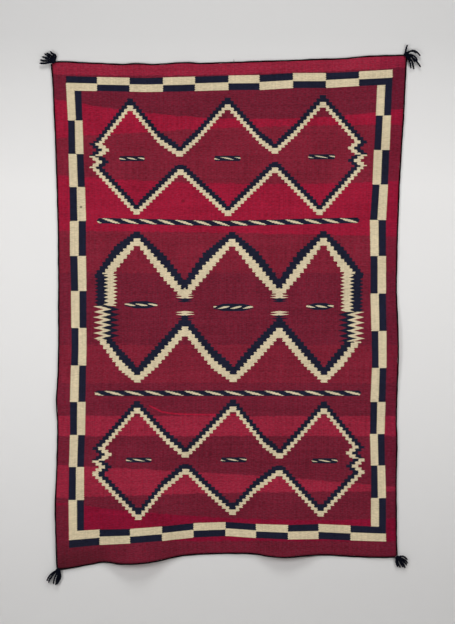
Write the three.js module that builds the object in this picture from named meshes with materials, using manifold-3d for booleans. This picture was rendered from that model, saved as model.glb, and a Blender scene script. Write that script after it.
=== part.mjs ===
// A handwoven wool wearing blanket, hung flat by its top edge, with its four selvage cords
// and the four loose tassels at its corners.
// Millimetres, +Z up. The front faces -Y and +X is to the right as seen from the front.
// The origin is the middle of the top edge. "down" is a distance below it, along -Z.

import * as THREE from 'three';
import { mergeVertices } from 'three/addons/utils/BufferGeometryUtils.js';
import Module from 'manifold-3d';

const wasm = await Module();
wasm.setup();

// Driving dimensions
const SHEET_THICKNESS = 2.2;
const SHEET_COLUMNS = 36;
const SHEET_ROWS = 46;
const CORD_DIAMETER = 4.6;
const CORD_SIDES = 6;
const CORD_SETBACK = 3;
const CLEARANCE = 0.3;
const HEAD_DIAMETER = 18;
const HEAD_DEPTH = 12;
const STRAND_WIDTH = 8;
const STRAND_TIP_WIDTH = 6;
const ROOT_SPREAD = 0.1;
const TIP_FALL_BACK = 5;
const STRAND_SIDES = 4;
const STRAND_STEPS = 6;

// Fineness: the step along the sheet that gives its direction, and where points become one
const DIRECTION_STEP = 0.002;
const MERGE_DISTANCE = 1e-4;

const CORD_RADIUS = CORD_DIAMETER / 2;
const HEAD_RADIUS = HEAD_DIAMETER / 2;

// The sheet ends this far inside the outline, which is the outside of the selvage cords
const EDGE_INSET = CORD_DIAMETER + CLEARANCE;

// The outline: the sides lean in from the top corners to the middle and spread a little
// again, and the lower edge is scalloped by two folds
const LEFT_OUTLINE = [
  { down: 0, x: -645 },
  { down: 70, x: -640 },
  { down: 210, x: -633 },
  { down: 395, x: -626 },
  { down: 615, x: -620 },
  { down: 870, x: -618.5 },
  { down: 1110, x: -619.5 },
  { down: 1235, x: -626 },
  { down: 1325, x: -622 },
  { down: 1460, x: -624.5 },
  { down: 1600, x: -630 },
  { down: 1715, x: -629 },
  { down: 1854, x: -624 },
];
const RIGHT_OUTLINE = [
  { down: -27, x: 655.5 },
  { down: 65, x: 651.5 },
  { down: 210, x: 644 },
  { down: 320, x: 637 },
  { down: 450, x: 629.5 },
  { down: 650, x: 622 },
  { down: 830, x: 619 },
  { down: 1035, x: 625 },
  { down: 1175, x: 622 },
  { down: 1305, x: 618.5 },
  { down: 1380, x: 621 },
  { down: 1500, x: 618.5 },
  { down: 1680, x: 618.5 },
  { down: 1809, x: 621 },
];
const TOP_OUTLINE = [
  { x: -645, down: 0 },
  { x: -604, down: -3 },
  { x: -540, down: 0 },
  { x: -460, down: 3 },
  { x: -385, down: 7 },
  { x: -330, down: 4 },
  { x: -270, down: 7 },
  { x: -155, down: 0.5 },
  { x: -95, down: 3 },
  { x: 0, down: 0 },
  { x: 100, down: -3.5 },
  { x: 206, down: -7 },
  { x: 316, down: -11 },
  { x: 430, down: -15 },
  { x: 500, down: -21.5 },
  { x: 578, down: -25.5 },
  { x: 655.5, down: -27 },
];
const BOTTOM_OUTLINE = [
  { x: -624, down: 1854 },
  { x: -580, down: 1850 },
  { x: -494, down: 1835 },
  { x: -450, down: 1827 },
  { x: -390, down: 1831 },
  { x: -320, down: 1827 },
  { x: -254, down: 1820 },
  { x: -166, down: 1805 },
  { x: -100, down: 1799 },
  { x: 30, down: 1796 },
  { x: 97, down: 1797 },
  { x: 150, down: 1804 },
  { x: 206, down: 1807 },
  { x: 272, down: 1803 },
  { x: 356, down: 1802 },
  { x: 447, down: 1807 },
  { x: 546, down: 1811 },
  { x: 621, down: 1809 },
];

// Where the sheet stands out from its hanging plane, as soft mounds: each has its middle at
// (x, down), dies away over half_width and half_height, and stands out to the front by out
const FOLDS = [
  { name: 'lower left fold', x: -320, down: 1845, half_width: 160, half_height: 560, out: 43 },
  { name: 'lower right fold', x: 212, down: 1830, half_width: 145, half_height: 440, out: 31 },
  { name: 'hollow between folds', x: -60, down: 1830, half_width: 130, half_height: 380, out: -3.5 },
  { name: 'lower right hollow', x: 470, down: 1840, half_width: 150, half_height: 330, out: -3 },
  { name: 'left corner roll', x: -640, down: 1700, half_width: 120, half_height: 260, out: 5 },
  { name: 'right side roll', x: 640, down: 1035, half_width: 170, half_height: 190, out: 9 },
  { name: 'left side kink', x: -640, down: 1235, half_width: 110, half_height: 90, out: 6 },
  { name: 'middle belly', x: -30, down: 900, half_width: 560, half_height: 760, out: 5 },
  { name: 'upper left ripple', x: -330, down: 0, half_width: 70, half_height: 190, out: 3.5 },
  { name: 'upper middle ripple', x: -155, down: 0, half_width: 75, half_height: 160, out: 3 },
  { name: 'upper right ripple', x: 480, down: 10, half_width: 110, half_height: 200, out: 3.5 },
];

// Corner tassels: head is the middle of the knot from the sheet's corner, which lies on the
// ends of the cords. across and up place each strand's tip from the head, bow is how far its
// middle stands to the right of the straight line, seen from the front and looking from head
// to tip, and out brings the tip towards the front
const TASSELS = [
  {
    name: 'tassel_top_left',
    side: -1,
    end: 1,
    head: { across: 5, up: 6, out: 8.1 },
    strands: [
      { across: -49, up: -7, bow: -2, out: 2 },
      { across: -49, up: 6, bow: -1, out: -2 },
      { across: -41, up: 17, bow: 2, out: 5 },
      { across: -33, up: 27, bow: 3, out: 1 },
      { across: -24, up: 31, bow: 5, out: -2 },
      { across: -11, up: 36, bow: 6, out: 4 },
      { across: -10, up: 29, bow: 14, out: 0 },
      { across: -22, up: 23, bow: 9, out: 3 },
      { across: -31, up: 9, bow: 3, out: 6 },
    ],
  },
  {
    name: 'tassel_top_right',
    side: 1,
    end: 1,
    head: { across: 1, up: 5, out: 7.8 },
    strands: [
      { across: 6, up: 34, bow: -2, out: 0 },
      { across: 51, up: -5, bow: -15, out: 3 },
      { across: 38, up: 4, bow: -9, out: -2 },
      { across: 52, up: -47, bow: -8, out: 2 },
      { across: 41, up: -22, bow: -7, out: 5 },
      { across: 32, up: -29, bow: -7, out: 0 },
      { across: 29, up: -52, bow: -7, out: -2 },
      { across: 18, up: -50, bow: -4, out: 3 },
    ],
  },
  {
    name: 'tassel_bottom_left',
    side: -1,
    end: -1,
    head: { across: 2, up: -5, out: 8 },
    strands: [
      { across: -42, up: -38, bow: 5, out: 0 },
      { across: -35, up: -45, bow: 4, out: 4 },
      { across: -29, up: -33, bow: 3, out: -2 },
      { across: -18, up: -50, bow: 2, out: 3 },
      { across: -10, up: -54, bow: -6, out: -1 },
      { across: -4, up: -50, bow: -8, out: 5 },
      { across: 3, up: -38, bow: -6, out: 0 },
      { across: -8, up: -44, bow: -2, out: 3 },
    ],
  },
  {
    name: 'tassel_bottom_right',
    side: 1,
    end: -1,
    head: { across: 4, up: -5, out: 6.2 },
    strands: [
      { across: 36, up: -7, bow: -8, out: 3 },
      { across: 37, up: -21, bow: -6, out: -2 },
      { across: 32, up: -27, bow: -5, out: 5 },
      { across: 27, up: -37, bow: -4, out: 0 },
      { across: 19, up: -34, bow: -2, out: 4 },
      { across: 9, up: -35, bow: 2, out: -2 },
      { across: 2, up: -32, bow: 5, out: 3 },
    ],
  },
];

function wool(name, color) {
  return new THREE.MeshStandardMaterial({ name, color, roughness: 0.95, metalness: 0 });
}

const WEAVE = wool('weave', 0x7c2032);
const CORD_WOOL = wool('cord', 0x171c2e);
const TASSEL_WOOL = wool('tassel', 0x1b2138);

// A smooth curve through the rows of a table, as a function of the column "from"
function throughRows(rows, from, to) {
  const at = rows.map((row) => row[from]);
  const value = rows.map((row) => row[to]);
  const last = rows.length - 1;
  const slope = at.map((_, i) => {
    const before = Math.max(i - 1, 0);
    const after = Math.min(i + 1, last);
    return (value[after] - value[before]) / (at[after] - at[before]);
  });
  return (place) => {
    let i = 0;
    while (i < last - 1 && place > at[i + 1]) i += 1;
    const span = at[i + 1] - at[i];
    const t = (place - at[i]) / span;
    const startWeight = (1 + 2 * t) * (1 - t) ** 2;
    const endWeight = t * t * (3 - 2 * t);
    const startPull = t * (1 - t) ** 2 * span * slope[i];
    const endPull = t * t * (t - 1) * span * slope[i + 1];
    return startWeight * value[i] + endWeight * value[i + 1] + startPull + endPull;
  };
}

// The sheet's own outline, inside the cords
const leftX = throughRows(LEFT_OUTLINE, 'down', 'x');
const rightX = throughRows(RIGHT_OUTLINE, 'down', 'x');
const topDown = throughRows(TOP_OUTLINE, 'x', 'down');
const bottomDown = throughRows(BOTTOM_OUTLINE, 'x', 'down');

function corner(outline, sideRow, side, end) {
  return { x: sideRow.x - side * EDGE_INSET, down: outline(sideRow.x) + end * EDGE_INSET };
}

const CORNERS = {
  topLeft: corner(topDown, LEFT_OUTLINE[0], -1, 1),
  topRight: corner(topDown, RIGHT_OUTLINE[0], 1, 1),
  bottomLeft: corner(bottomDown, LEFT_OUTLINE.at(-1), -1, -1),
  bottomRight: corner(bottomDown, RIGHT_OUTLINE.at(-1), 1, -1),
};

const mix = THREE.MathUtils.lerp;

function alongTop(u) {
  const x = mix(CORNERS.topLeft.x, CORNERS.topRight.x, u);
  return { x, down: topDown(x) + EDGE_INSET };
}

function alongBottom(u) {
  const x = mix(CORNERS.bottomLeft.x, CORNERS.bottomRight.x, u);
  return { x, down: bottomDown(x) - EDGE_INSET };
}

function alongLeft(v) {
  const down = mix(CORNERS.topLeft.down, CORNERS.bottomLeft.down, v);
  return { x: leftX(down) + EDGE_INSET, down };
}

function alongRight(v) {
  const down = mix(CORNERS.topRight.down, CORNERS.bottomRight.down, v);
  return { x: rightX(down) - EDGE_INSET, down };
}

// A place on the hanging sheet: u runs from the left edge to the right, v from the top down
function flatPlace(u, v) {
  const place = {};
  for (const key of ['x', 'down']) {
    const upright = mix(alongTop(u)[key], alongBottom(u)[key], v);
    const level = mix(alongLeft(v)[key], alongRight(v)[key], u);
    const topLine = mix(CORNERS.topLeft[key], CORNERS.topRight[key], u);
    const bottomLine = mix(CORNERS.bottomLeft[key], CORNERS.bottomRight[key], u);
    place[key] = upright + level - mix(topLine, bottomLine, v);
  }
  return place;
}

function bell(t) {
  return Math.abs(t) < 1 ? Math.cos((t * Math.PI) / 2) ** 2 : 0;
}

function standOut(x, down) {
  let out = 0;
  for (const fold of FOLDS) {
    out += fold.out * bell((x - fold.x) / fold.half_width) * bell((down - fold.down) / fold.half_height);
  }
  return out;
}

// The point of the sheet's middle surface at (u, v)
function sheetPoint(u, v) {
  const { x, down } = flatPlace(u, v);
  return new THREE.Vector3(x, -standOut(x, down), -down);
}

// The direction that faces the front at (u, v), square to the sheet
function sheetNormal(u, v) {
  const step = DIRECTION_STEP;
  const acrossStep = sheetPoint(u + step, v).sub(sheetPoint(u - step, v));
  const downStep = sheetPoint(u, v + step).sub(sheetPoint(u, v - step));
  return downStep.cross(acrossStep).normalize();
}

function closedGeometry(points, faces) {
  const geometry = new THREE.BufferGeometry();
  const numbers = points.flatMap((p) => [p.x, p.y, p.z]);
  geometry.setAttribute('position', new THREE.Float32BufferAttribute(numbers, 3));
  geometry.setIndex(faces.flat());
  geometry.computeVertexNormals();
  return geometry;
}

// The woven sheet: a front and a back grid, joined by four narrow edge strips
function sheetGeometry() {
  const points = [];
  const perSide = (SHEET_COLUMNS + 1) * (SHEET_ROWS + 1);
  for (const facing of [1, -1]) {
    for (let row = 0; row <= SHEET_ROWS; row += 1) {
      for (let column = 0; column <= SHEET_COLUMNS; column += 1) {
        const u = column / SHEET_COLUMNS;
        const v = row / SHEET_ROWS;
        const offset = (facing * SHEET_THICKNESS) / 2;
        points.push(sheetPoint(u, v).addScaledVector(sheetNormal(u, v), offset));
      }
    }
  }
  const front = (row, column) => row * (SHEET_COLUMNS + 1) + column;
  const back = (row, column) => perSide + front(row, column);
  const faces = [];
  const addQuad = (a, b, c, d) => faces.push([a, b, c], [a, c, d]);
  for (let row = 0; row < SHEET_ROWS; row += 1) {
    for (let column = 0; column < SHEET_COLUMNS; column += 1) {
      const below = row + 1;
      const next = column + 1;
      addQuad(front(row, column), front(below, column), front(below, next), front(row, next));
      addQuad(back(row, column), back(row, next), back(below, next), back(below, column));
    }
  }
  for (let column = 0; column < SHEET_COLUMNS; column += 1) {
    addQuad(front(0, column), front(0, column + 1), back(0, column + 1), back(0, column));
    const low = SHEET_ROWS;
    addQuad(front(low, column + 1), front(low, column), back(low, column), back(low, column + 1));
  }
  for (let row = 0; row < SHEET_ROWS; row += 1) {
    addQuad(front(row + 1, 0), front(row, 0), back(row, 0), back(row + 1, 0));
    const end = SHEET_COLUMNS;
    addQuad(front(row, end), front(row + 1, end), back(row + 1, end), back(row, end));
  }
  return closedGeometry(points, faces);
}

// A closed tube along a list of points, with a radius for each point
function tubeGeometry(path, radii, sides) {
  const points = [];
  const faces = [];
  const rings = path.length;
  const toFront = new THREE.Vector3(0, -1, 0);
  path.forEach((place, i) => {
    const along = path[Math.min(i + 1, rings - 1)].clone().sub(path[Math.max(i - 1, 0)]).normalize();
    const beside = along.clone().cross(toFront).normalize();
    const ahead = beside.clone().cross(along);
    for (let side = 0; side < sides; side += 1) {
      const turn = ((side + 0.5) * 2 * Math.PI) / sides;
      const point = place.clone();
      point.addScaledVector(beside, radii[i] * Math.cos(turn));
      point.addScaledVector(ahead, radii[i] * Math.sin(turn));
      points.push(point);
    }
  });
  const startCap = points.push(path[0].clone()) - 1;
  const endCap = points.push(path[rings - 1].clone()) - 1;
  for (let side = 0; side < sides; side += 1) {
    const next = (side + 1) % sides;
    for (let i = 0; i < rings - 1; i += 1) {
      const near = i * sides;
      const far = near + sides;
      faces.push([near + side, far + side, far + next], [near + side, far + next, near + next]);
    }
    const lastRing = (rings - 1) * sides;
    faces.push([startCap, side, next], [endCap, lastRing + next, lastRing + side]);
  }
  return closedGeometry(points, faces);
}

// The selvage cord of one edge: it follows the sheet's edge at the clearance, and stops
// short of both corners, where the tassel heads sit
function cordGeometry(edgeUV, steps, outwards) {
  const reach = CORD_RADIUS + CLEARANCE;
  const path = [];
  for (let i = 0; i <= steps; i += 1) {
    const [u, v] = edgeUV(i / steps);
    path.push(sheetPoint(u, v).addScaledVector(outwards, reach));
  }
  const pullIn = (end, next) => end.addScaledVector(next.clone().sub(end).normalize(), CORD_SETBACK);
  pullIn(path[0], path[1]);
  pullIn(path[steps], path[steps - 1]);
  return tubeGeometry(path, path.map(() => CORD_RADIUS), CORD_SIDES);
}

const UP = new THREE.Vector3(0, 0, 1);
const DOWN = new THREE.Vector3(0, 0, -1);
const LEFT = new THREE.Vector3(-1, 0, 0);
const RIGHT = new THREE.Vector3(1, 0, 0);
const CORDS = [
  { name: 'cord_top', edgeUV: (t) => [t, 0], steps: SHEET_COLUMNS, outwards: UP },
  { name: 'cord_bottom', edgeUV: (t) => [t, 1], steps: SHEET_COLUMNS, outwards: DOWN },
  { name: 'cord_left', edgeUV: (t) => [0, t], steps: SHEET_ROWS, outwards: LEFT },
  { name: 'cord_right', edgeUV: (t) => [1, t], steps: SHEET_ROWS, outwards: RIGHT },
];

function solidFrom(geometry) {
  const bare = geometry.clone();
  bare.deleteAttribute('normal');
  bare.deleteAttribute('uv');
  const merged = mergeVertices(bare, MERGE_DISTANCE);
  const vertProperties = new Float32Array(merged.attributes.position.array);
  const triVerts = new Uint32Array(merged.index.array);
  return new wasm.Manifold(new wasm.Mesh({ numProp: 3, vertProperties, triVerts }));
}

function geometryFrom(solid) {
  const mesh = solid.getMesh();
  const geometry = new THREE.BufferGeometry();
  geometry.setAttribute('position', new THREE.BufferAttribute(new Float32Array(mesh.vertProperties), 3));
  geometry.setIndex(new THREE.BufferAttribute(new Uint32Array(mesh.triVerts), 1));
  geometry.computeVertexNormals();
  return geometry;
}

// One strand: a square tapered yarn on a bowed path from inside the head to its tip
function strandGeometry(root, tip, bow) {
  const line = tip.clone().sub(root);
  const rightHand = new THREE.Vector3(line.z, 0, -line.x).normalize();
  const bend = root.clone().lerp(tip, 0.5).addScaledVector(rightHand, 2 * bow);
  const path = new THREE.QuadraticBezierCurve3(root, bend, tip).getPoints(STRAND_STEPS);
  const radii = path.map((_, i) => mix(STRAND_WIDTH, STRAND_TIP_WIDTH, i / STRAND_STEPS) / 2);
  return tubeGeometry(path, radii, STRAND_SIDES);
}

// A corner tassel: the knotted head lies in front of the sheet's corner and is flatter than
// it is wide. The strands fan out of it and fall back towards the wall, and their roots are
// spread inside it as a small copy of their tips
function tasselGeometry(tassel) {
  const u = tassel.side > 0 ? 1 : 0;
  const v = tassel.end > 0 ? 0 : 1;
  const offset = new THREE.Vector3(tassel.head.across, -tassel.head.out, tassel.head.up);
  const head = sheetPoint(u, v).add(offset);
  const ball = new THREE.IcosahedronGeometry(HEAD_RADIUS, 1);
  ball.scale(1, HEAD_DEPTH / HEAD_DIAMETER, 1);
  ball.translate(head.x, head.y, head.z);
  let solid = solidFrom(ball);
  const fan = tassel.strands.map(
    ({ across, up, out }) => new THREE.Vector3(across, TIP_FALL_BACK - out, up),
  );
  const middle = fan.reduce((sum, reach) => sum.add(reach), new THREE.Vector3());
  middle.divideScalar(fan.length);
  fan.forEach((reach, i) => {
    const root = head.clone().addScaledVector(reach.clone().sub(middle), ROOT_SPREAD);
    const tip = head.clone().add(reach);
    solid = solid.add(solidFrom(strandGeometry(root, tip, tassel.strands[i].bow)));
  });
  return geometryFrom(solid);
}

const blanket = new THREE.Group();

function addPiece(name, geometry, material) {
  const piece = new THREE.Mesh(geometry, material);
  piece.name = name;
  blanket.add(piece);
}

addPiece('woven_sheet', sheetGeometry(), WEAVE);
for (const cord of CORDS) {
  addPiece(cord.name, cordGeometry(cord.edgeUV, cord.steps, cord.outwards), CORD_WOOL);
}
for (const tassel of TASSELS) {
  addPiece(tassel.name, tasselGeometry(tassel), TASSEL_WOOL);
}

export default blanket;
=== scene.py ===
import math
import random
from collections import namedtuple

import bpy
import numpy as np
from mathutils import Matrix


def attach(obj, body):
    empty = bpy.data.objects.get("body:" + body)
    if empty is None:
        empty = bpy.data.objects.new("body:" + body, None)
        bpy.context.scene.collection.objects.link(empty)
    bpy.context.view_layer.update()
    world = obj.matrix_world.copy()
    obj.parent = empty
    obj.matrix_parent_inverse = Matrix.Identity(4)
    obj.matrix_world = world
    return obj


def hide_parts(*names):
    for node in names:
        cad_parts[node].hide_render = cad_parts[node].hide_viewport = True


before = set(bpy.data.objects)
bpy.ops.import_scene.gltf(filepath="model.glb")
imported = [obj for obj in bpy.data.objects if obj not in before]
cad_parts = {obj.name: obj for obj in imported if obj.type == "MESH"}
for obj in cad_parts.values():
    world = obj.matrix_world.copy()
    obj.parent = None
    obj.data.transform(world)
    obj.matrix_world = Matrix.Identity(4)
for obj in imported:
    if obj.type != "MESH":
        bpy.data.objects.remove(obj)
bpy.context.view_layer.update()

# Sizes are in millimetres here and become metres where a mesh is made
METRES = 0.001

# The sheet, its cords and its tassels, as in the frame
SHEET_THICKNESS = 2.2
CORD_DIAMETER = 4.6
CLEARANCE = 0.3
CORD_SETBACK = 3
HEAD_DIAMETER = 18
HEAD_DEPTH = 12
STRAND_WIDTH = 7.8
ROOT_SPREAD = 0.1
TIP_FALL_BACK = 5
SHEET_COLUMNS = 180
SHEET_ROWS = 262
CORD_RADIUS = CORD_DIAMETER / 2
HEAD_RADIUS = HEAD_DIAMETER / 2
EDGE_INSET = CORD_DIAMETER + CLEARANCE

# The step along the sheet that gives its direction
DIRECTION_STEP = 0.002

# The cut size: along the weave with the folds laid flat, between the selvages
FLAT_WIDTH = 1.247
FLAT_LENGTH = 1.809

# How a place in the photograph maps to the plane in which the blanket hangs
PHOTO_HEIGHT = 624
MM_PER_PIXEL = 3.65
MIDDLE_PIXEL = 227.5
TOP_EDGE_PIXEL = 62
CAMERA_LENS = 90
CAMERA_SENSOR = 36
CAMERA_DISTANCE = PHOTO_HEIGHT * MM_PER_PIXEL * CAMERA_LENS / CAMERA_SENSOR
CAMERA_HEIGHT = (TOP_EDGE_PIXEL - PHOTO_HEIGHT / 2) * MM_PER_PIXEL

# The outline: the outside of the selvage cords, in millimetres from the origin
Side = namedtuple("Side", "down x")
End = namedtuple("End", "x down")
LEFT_OUTLINE = [
    Side(0, -645), Side(70, -640), Side(210, -633), Side(395, -626), Side(615, -620),
    Side(870, -618.5), Side(1110, -619.5), Side(1235, -626), Side(1325, -622),
    Side(1460, -624.5), Side(1600, -630), Side(1715, -629), Side(1854, -624),
]
RIGHT_OUTLINE = [
    Side(-27, 655.5), Side(65, 651.5), Side(210, 644), Side(320, 637), Side(450, 629.5),
    Side(650, 622), Side(830, 619), Side(1035, 625), Side(1175, 622), Side(1305, 618.5),
    Side(1380, 621), Side(1500, 618.5), Side(1680, 618.5), Side(1809, 621),
]
TOP_OUTLINE = [
    End(-645, 0), End(-604, -3), End(-540, 0), End(-460, 3), End(-385, 7), End(-330, 4),
    End(-270, 7), End(-155, 0.5), End(-95, 3), End(0, 0), End(100, -3.5), End(206, -7),
    End(316, -11), End(430, -15), End(500, -21.5), End(578, -25.5), End(655.5, -27),
]
BOTTOM_OUTLINE = [
    End(-624, 1854), End(-580, 1850), End(-494, 1835), End(-450, 1827), End(-390, 1831),
    End(-320, 1827), End(-254, 1820), End(-166, 1805), End(-100, 1799), End(30, 1796),
    End(97, 1797), End(150, 1804), End(206, 1807), End(272, 1803), End(356, 1802),
    End(447, 1807), End(546, 1811), End(621, 1809),
]

# The folds: where each is deepest, how far it reaches, and how far out it stands
Fold = namedtuple("Fold", "x down half_width half_height out")
FOLDS = {
    "lower left fold": Fold(-320, 1845, 160, 560, 43),
    "lower right fold": Fold(212, 1830, 145, 440, 31),
    "hollow between folds": Fold(-60, 1830, 130, 380, -3.5),
    "lower right hollow": Fold(470, 1840, 150, 330, -3),
    "left corner roll": Fold(-640, 1700, 120, 260, 5),
    "right side roll": Fold(640, 1035, 170, 190, 9),
    "left side kink": Fold(-640, 1235, 110, 90, 6),
    "middle belly": Fold(-30, 900, 560, 760, 5),
    "upper left ripple": Fold(-330, 0, 70, 190, 3.5),
    "upper middle ripple": Fold(-155, 0, 75, 160, 3),
    "upper right ripple": Fold(480, 10, 110, 200, 3.5),
}

# Faint waves that the hand feels in the cloth: length across and down, lean and height
Wave = namedtuple("Wave", "across down start height")
FAINT_WAVES = [
    Wave(310, 820, 0.4, 0.5),
    Wave(-190, 540, 1.9, 0.35),
    Wave(120, 1400, 3.1, 0.25),
    Wave(900, -260, 0.8, 0.3),
]


def through_rows(rows, at_column, value_column):
    """A smooth curve through a table's rows, which takes single numbers and arrays."""
    at = np.array([getattr(row, at_column) for row in rows], float)
    value = np.array([getattr(row, value_column) for row in rows], float)
    slope = np.gradient(value, at)
    slope[1:-1] = (value[2:] - value[:-2]) / (at[2:] - at[:-2])

    def curve(place):
        i = np.clip(np.searchsorted(at, place) - 1, 0, len(at) - 2)
        span = at[i + 1] - at[i]
        t = (place - at[i]) / span
        start = (1 + 2 * t) * (1 - t) ** 2 * value[i] + t * (1 - t) ** 2 * span * slope[i]
        return start + t * t * (3 - 2 * t) * value[i + 1] + t * t * (t - 1) * span * slope[i + 1]

    return curve


left_x = through_rows(LEFT_OUTLINE, "down", "x")
right_x = through_rows(RIGHT_OUTLINE, "down", "x")
top_down = through_rows(TOP_OUTLINE, "x", "down")
bottom_down = through_rows(BOTTOM_OUTLINE, "x", "down")


def corner(outline, side_row, side, end):
    """The sheet's corner, inside the cords that meet there."""
    return np.array([side_row.x - side * EDGE_INSET, outline(side_row.x) + end * EDGE_INSET])


TOP_LEFT = corner(top_down, LEFT_OUTLINE[0], -1, 1)
TOP_RIGHT = corner(top_down, RIGHT_OUTLINE[0], 1, 1)
BOTTOM_LEFT = corner(bottom_down, LEFT_OUTLINE[-1], -1, -1)
BOTTOM_RIGHT = corner(bottom_down, RIGHT_OUTLINE[-1], 1, -1)


def mix(a, b, t):
    return a + (b - a) * t


def flat_place(u, v):
    """Where (u, v) of the sheet hangs, as across and down."""
    u, v = np.broadcast_arrays(np.asarray(u, float), np.asarray(v, float))
    top_x = mix(TOP_LEFT[0], TOP_RIGHT[0], u)
    bottom_x = mix(BOTTOM_LEFT[0], BOTTOM_RIGHT[0], u)
    left_y = mix(TOP_LEFT[1], BOTTOM_LEFT[1], v)
    right_y = mix(TOP_RIGHT[1], BOTTOM_RIGHT[1], v)
    top = np.stack([top_x, top_down(top_x) + EDGE_INSET], -1)
    bottom = np.stack([bottom_x, bottom_down(bottom_x) - EDGE_INSET], -1)
    left = np.stack([left_x(left_y) + EDGE_INSET, left_y], -1)
    right = np.stack([right_x(right_y) - EDGE_INSET, right_y], -1)
    u, v = u[..., None], v[..., None]
    corners = mix(mix(TOP_LEFT, TOP_RIGHT, u), mix(BOTTOM_LEFT, BOTTOM_RIGHT, u), v)
    return mix(top, bottom, v) + mix(left, right, u) - corners


def bell(t):
    return np.where(np.abs(t) < 1, np.cos(np.clip(t, -1, 1) * np.pi / 2) ** 2, 0)


def stand_out(x, down):
    """How far the sheet stands out to the front of its hanging plane."""
    out = 0
    for fold in FOLDS.values():
        across = bell((x - fold.x) / fold.half_width)
        out = out + fold.out * across * bell((down - fold.down) / fold.half_height)
    for wave in FAINT_WAVES:
        turns = x / wave.across + down / wave.down
        out = out + wave.height * np.sin(turns * 2 * np.pi + wave.start)
    return out


def sheet_point(u, v):
    """The middle of the sheet's thickness at (u, v), as x, y and z."""
    place = flat_place(u, v)
    x, down = place[..., 0], place[..., 1]
    return np.stack([x, -stand_out(x, down), -down], -1)


def unit(vectors):
    return vectors / np.linalg.norm(vectors, axis=-1, keepdims=True)


def sheet_normal(u, v):
    across = sheet_point(u + DIRECTION_STEP, v) - sheet_point(u - DIRECTION_STEP, v)
    down = sheet_point(u, v + DIRECTION_STEP) - sheet_point(u, v - DIRECTION_STEP)
    return unit(np.cross(down, across))


def mesh_object(name, points, faces, material):
    mesh = bpy.data.meshes.new(name)
    mesh.from_pydata(points, [], faces)
    mesh.materials.append(material)
    thing = bpy.data.objects.new(name, mesh)
    bpy.context.scene.collection.objects.link(thing)
    return thing


def new_piece(name, points, faces, material, slot, node):
    """A piece of the blanket, from points in millimetres, that stands for a CAD node."""
    piece = mesh_object(name, (np.asarray(points) * METRES).tolist(), faces, material)
    piece.data.shade_smooth()
    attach(piece, "root")
    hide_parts(node)
    return piece


# Shader arithmetic. The Mix node's factor, A and B sockets, for numbers and for colours
NUMBER_SOCKETS = (0, 2, 3)
COLOUR_SOCKETS = (0, 6, 7)


class Term:
    """One number over a surface, built from shader nodes by ordinary arithmetic."""

    def __init__(self, tree, socket):
        self.tree = tree
        self.socket = socket

    def via(self, operation, *others, swapped=False, clamp=False):
        node = self.tree.nodes.new("ShaderNodeMath")
        node.operation = operation
        node.use_clamp = clamp
        terms = [self, *others]
        if swapped:
            terms.reverse()
        for socket, term in zip(node.inputs, terms):
            feed(self.tree, socket, term)
        return Term(self.tree, node.outputs[0])

    def __add__(self, other):
        return self.via("ADD", other)

    def __sub__(self, other):
        return self.via("SUBTRACT", other)

    def __rsub__(self, other):
        return self.via("SUBTRACT", other, swapped=True)

    def __mul__(self, other):
        return self.via("MULTIPLY", other)

    def __truediv__(self, other):
        return self.via("DIVIDE", other)

    def __gt__(self, other):
        return self.via("GREATER_THAN", other)

    def __lt__(self, other):
        return self.via("LESS_THAN", other)

    def __abs__(self):
        return self.via("ABSOLUTE")

    __radd__ = __add__
    __rmul__ = __mul__


def feed(tree, socket, value):
    if isinstance(value, Term):
        tree.links.new(value.socket, socket)
    elif isinstance(value, bpy.types.NodeSocket):
        tree.links.new(value, socket)
    else:
        socket.default_value = value


def mix_node(tree, data_type, sockets, values):
    node = tree.nodes.new("ShaderNodeMix")
    node.data_type = data_type
    for number, value in zip(sockets, values):
        feed(tree, node.inputs[number], value)
    return node


def mixed(factor, a, b):
    node = mix_node(factor.tree, "FLOAT", NUMBER_SOCKETS, (factor, a, b))
    return Term(factor.tree, node.outputs[0])


def mixed_colour(factor, a, b):
    return mix_node(factor.tree, "RGBA", COLOUR_SOCKETS, (factor, a, b)).outputs[2]


def multiplied(tree, a, b):
    node = mix_node(tree, "RGBA", COLOUR_SOCKETS, (1.0, a, b))
    node.blend_type = "MULTIPLY"
    return node.outputs[2]


def map_range(x, interpolation, values):
    node = x.tree.nodes.new("ShaderNodeMapRange")
    node.interpolation_type = interpolation
    node.clamp = True
    for socket, value in zip(node.inputs, (x, *values)):
        feed(x.tree, socket, value)
    return Term(x.tree, node.outputs[0])


def staircase(x, start, end, levels):
    """Rises from 0 to 1 between start and end, in even steps."""
    return map_range(x, "STEPPED", (start, end, 0.0, 1.0, float(levels - 1)))


def ramp(x, start, end, low=0.0, high=1.0, smooth=True):
    return map_range(x, "SMOOTHSTEP" if smooth else "LINEAR", (start, end, low, high))


def curve_through(x, places, values):
    """A polyline through (places, values) as a function of x."""
    low, high = min(values), max(values)
    spread = (high - low) or 1
    node = x.tree.nodes.new("ShaderNodeFloatCurve")
    line = node.mapping.curves[0]
    span = places[-1] - places[0]
    spots = [((p - places[0]) / span, (v - low) / spread) for p, v in zip(places, values)]
    line.points[0].location = spots[0]
    line.points[1].location = spots[-1]
    for spot in spots[1:-1]:
        line.points.new(*spot)
    for point in line.points:
        point.handle_type = "VECTOR"
    node.mapping.update()
    node.inputs[0].default_value = 1
    feed(x.tree, node.inputs[1], ramp(x, places[0], places[-1], smooth=False))
    return Term(x.tree, node.outputs[0]) * spread + low


def linear(channel):
    """One channel of a colour, from 0 to 255, as the light that it stands for."""
    channel /= 255
    return channel / 12.92 if channel <= 0.04045 else ((channel + 0.055) / 1.055) ** 2.4


def dye(red, green, blue, lift=1.0):
    """A colour as the photograph shows it, as the wool's own colour."""
    return tuple(linear(c) * lift for c in (red, green, blue)) + (1.0,)


# The woven pattern, in pixels of the photograph, 3.65 mm of cloth each
PATTERN_MIDDLE = 227

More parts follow.
